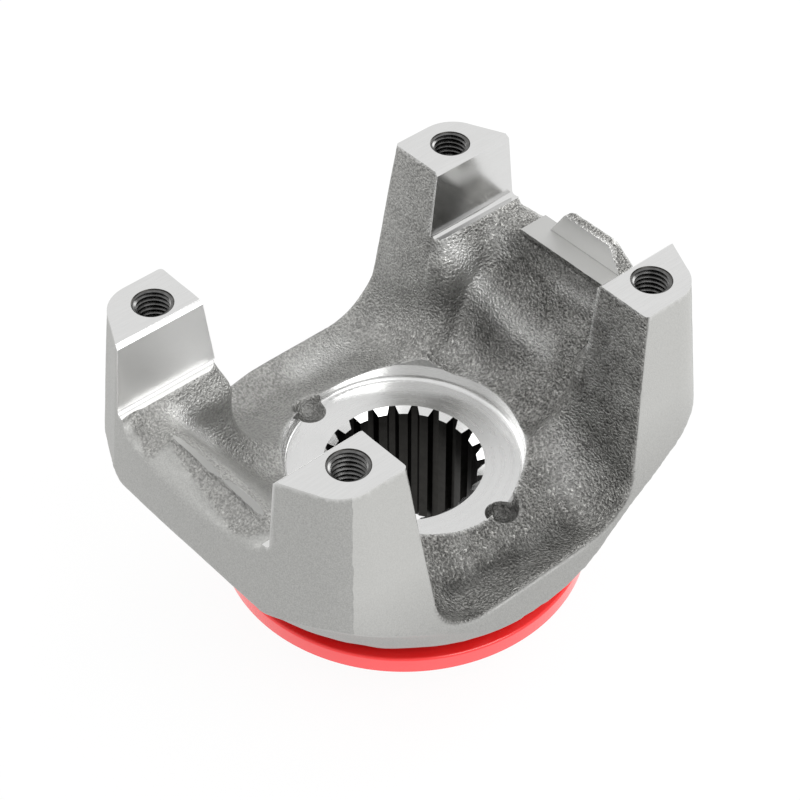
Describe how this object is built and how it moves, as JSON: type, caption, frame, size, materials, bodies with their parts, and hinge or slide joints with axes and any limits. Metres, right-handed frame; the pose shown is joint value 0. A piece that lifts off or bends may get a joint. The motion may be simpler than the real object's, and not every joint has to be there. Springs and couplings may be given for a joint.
{
  "type": "drive shaft end yoke",
  "caption": "Forged steel end yoke with two forked ears, machined bearing seats, threaded posts, a splined bore and a dust ring.",
  "frame": {"origin": "centre of the hub's end face, on the bore axis", "axes": "+Z along the bore axis towards the posts, X across the bearing seats, +Y towards the ear with the lug"},
  "size_m": [0.151, 0.198, 0.142],
  "materials": {
    "forged_steel": "shot-blasted forging with bright machined faces",
    "red_ring": "glossy red"
  },
  "bodies": {
    "root": {"yoke": "forged_steel", "dust_ring": "red_ring"}
  },
  "joints": []
}
